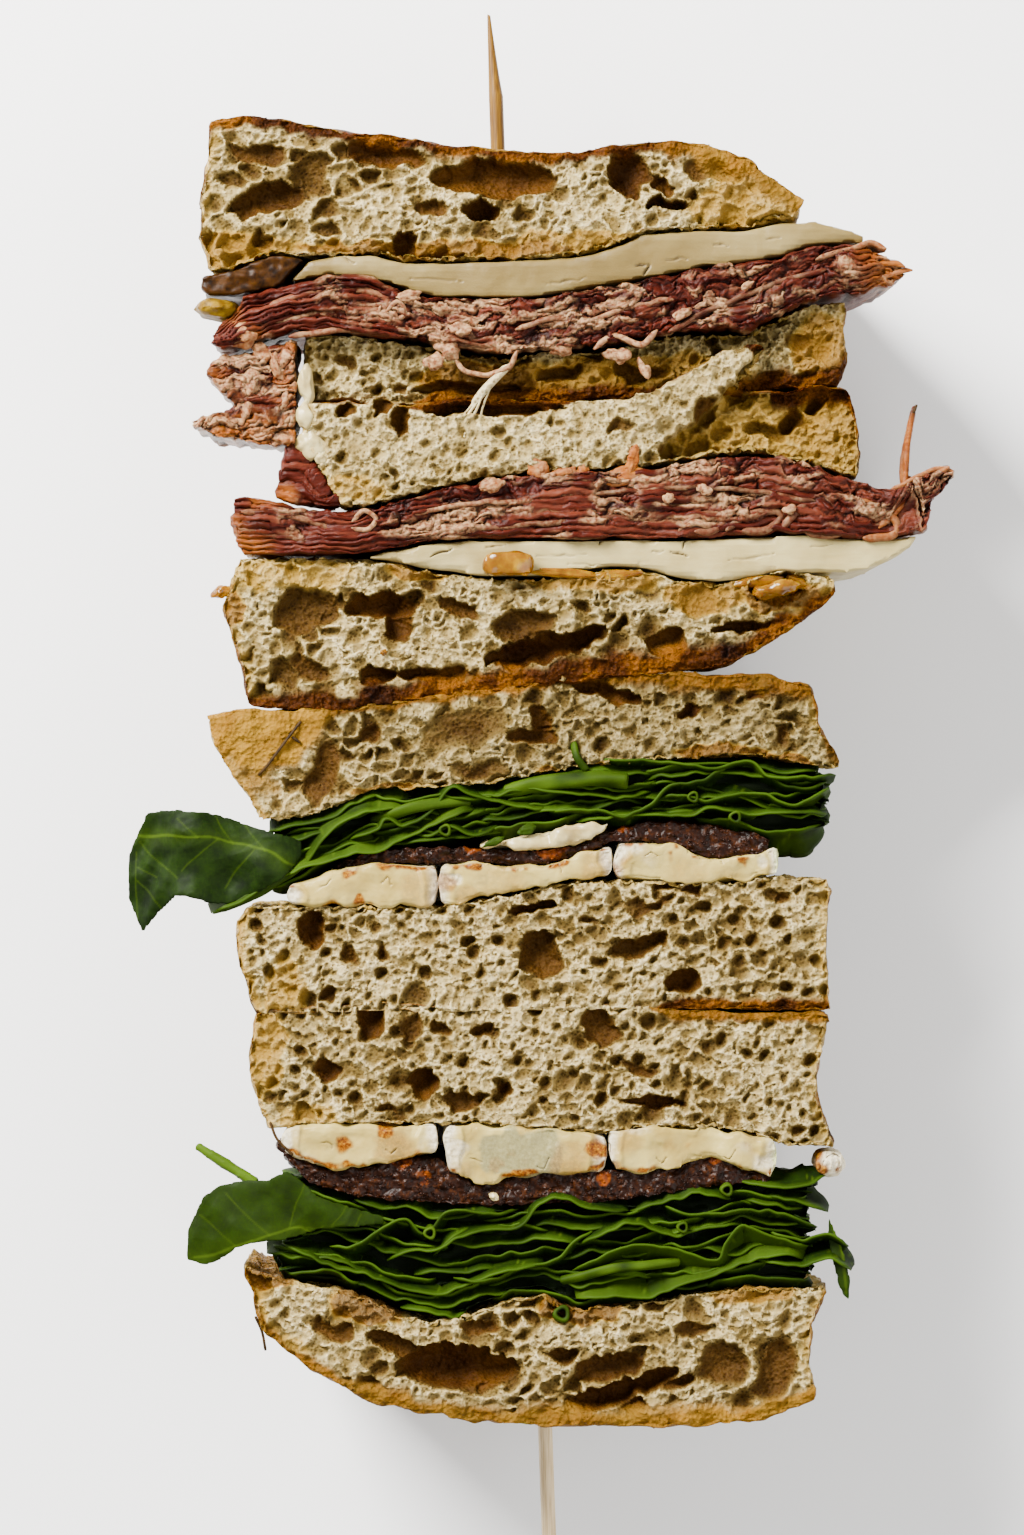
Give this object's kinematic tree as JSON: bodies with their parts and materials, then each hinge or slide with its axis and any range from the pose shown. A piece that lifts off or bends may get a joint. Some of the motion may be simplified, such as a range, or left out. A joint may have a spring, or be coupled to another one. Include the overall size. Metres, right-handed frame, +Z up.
{
  "type": "skewered sandwich tower",
  "caption": "Tower of cut ciabatta sandwiches on a bamboo skewer, lying with its cut faces up: ham and cheese above, spinach, brie and olive paste below.",
  "frame": {"origin": "on the surface the tower lies on, under the middle of its bounding box", "axes": "+X across the cut faces from left to right, +Y along the skewer to its pointed end, +Z up out of the cut faces; the uncut backs of the breads rest on z = 0"},
  "size_m": [0.158, 0.305, 0.0614],
  "materials": {
    "bread": "open pale crumb with a floury golden brown crust, matt",
    "ham": "moist layered cooked ham, soft sheen",
    "cheese": "smooth pale semi-hard cheese, satin",
    "brie": "creamy soft cheese with a white rind, satin",
    "spinach": "fresh green leaves, satin",
    "tapenade": "dark grainy olive paste, oily",
    "cream": "soft white spread, glossy",
    "pickle": "brown pickle slice, wet",
    "jelly": "clear amber fruit jelly, glossy",
    "bamboo": "split bamboo, satin"
  },
  "bodies": {
    "root": {"bread_1_top": "bread", "bread_1_bottom": "bread", "bread_2_top": "bread", "bread_2_bottom": "bread", "bread_3_top": "bread", "bread_3_bottom": "bread", "bread_4_top": "bread", "bread_4_bottom": "bread", "ham_1": "ham", "ham_1_fold": "ham", "ham_2": "ham", "ham_strand_2": "ham", "cheese_1": "cheese", "cheese_2": "cheese", "brie_3a": "brie", "brie_3b": "brie", "brie_3c": "brie", "brie_4a": "brie", "brie_4b": "brie", "brie_4c": "brie", "brie_4d": "brie", "spinach_3": "spinach", "spinach_4": "spinach", "leaf_3": "spinach", "leaf_4": "spinach", "leaf_4_right": "spinach", "stem_4": "spinach", "tapenade_3": "tapenade", "tapenade_4": "tapenade", "cream_3": "cream", "pickle_1_long": "pickle", "pickle_1_short": "pickle", "jelly_2": "jelly", "jam_2": "jelly", "skewer": "bamboo"}
  },
  "joints": []
}
